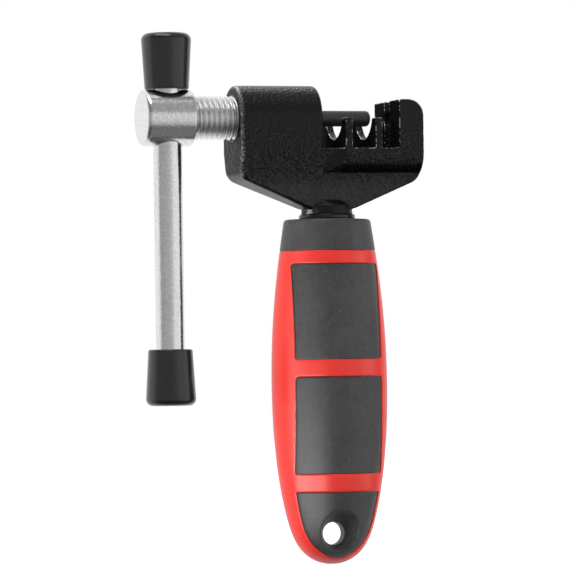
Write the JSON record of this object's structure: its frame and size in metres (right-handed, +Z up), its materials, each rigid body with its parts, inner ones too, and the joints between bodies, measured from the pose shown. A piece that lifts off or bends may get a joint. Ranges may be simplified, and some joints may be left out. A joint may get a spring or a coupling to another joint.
{
  "type": "bicycle chain tool",
  "caption": "Hand tool that presses the rivets out of a bicycle chain: cast head with chain cradles, drive screw with sliding tommy bar, and padded two-colour handle",
  "frame": {"origin": "the centre of the rivet exit bore in the anvil jaw, on the press axis", "axes": "+X along the press axis, the way the screw drives the pin; +Z up, with the handle hanging along -Z; +Y to the rear, the tool being symmetric about Y = 0"},
  "size_m": [0.0642, 0.0214, 0.1206],
  "materials": {
    "black_casting": "semi-gloss black powder coat with a fine orange-peel texture",
    "black_washer": "gloss black",
    "plain_steel": "plain turned steel",
    "insert_brass": "plain turned brass",
    "red_plastic": "satin-gloss moulded red plastic",
    "grey_rubber": "matt dark grey soft moulded rubber",
    "plated_steel": "bright zinc plating with faint turning marks",
    "black_pin_steel": "black oxide on hardened steel",
    "black_plastic": "glossy black plastic"
  },
  "bodies": {
    "tool_body": {"tool_head": "black_casting", "neck_washer": "black_washer", "neck_stud": "plain_steel", "stud_insert": "insert_brass", "handle_body": "red_plastic", "grip_collar": "grey_rubber", "front_upper_pad": "grey_rubber", "rear_upper_pad": "grey_rubber", "front_middle_pad": "grey_rubber", "rear_middle_pad": "grey_rubber", "end_pad": "grey_rubber"},
    "press_pin": {"drive_pin": "black_pin_steel"},
    "screw": {"drive_screw": "plated_steel", "pin_retainer": "plain_steel"},
    "bar": {"tommy_bar": "plated_steel", "upper_bar_cap": "black_plastic", "lower_bar_cap": "black_plastic"}
  },
  "joints": [
    {"name": "screw_travel", "type": "slide", "parent": "tool_body", "child": "press_pin", "axis": [1, 0, 0], "range_m": [-0.0096, 0.009]},
    {"name": "screw_turn", "type": "hinge", "parent": "press_pin", "child": "screw", "pos_m": [-0.0552, 0, 0], "axis": [1, 0, 0], "range_deg": [-2764.8, 2592]},
    {"name": "bar_slide", "type": "slide", "parent": "screw", "child": "bar", "axis": [0, 0, 1], "range_m": [0, 0.0456]}
  ],
  "couplings": [
    {"joint": "screw_travel", "follows": "screw_turn", "m_per_rad": 0.00019894}
  ]
}
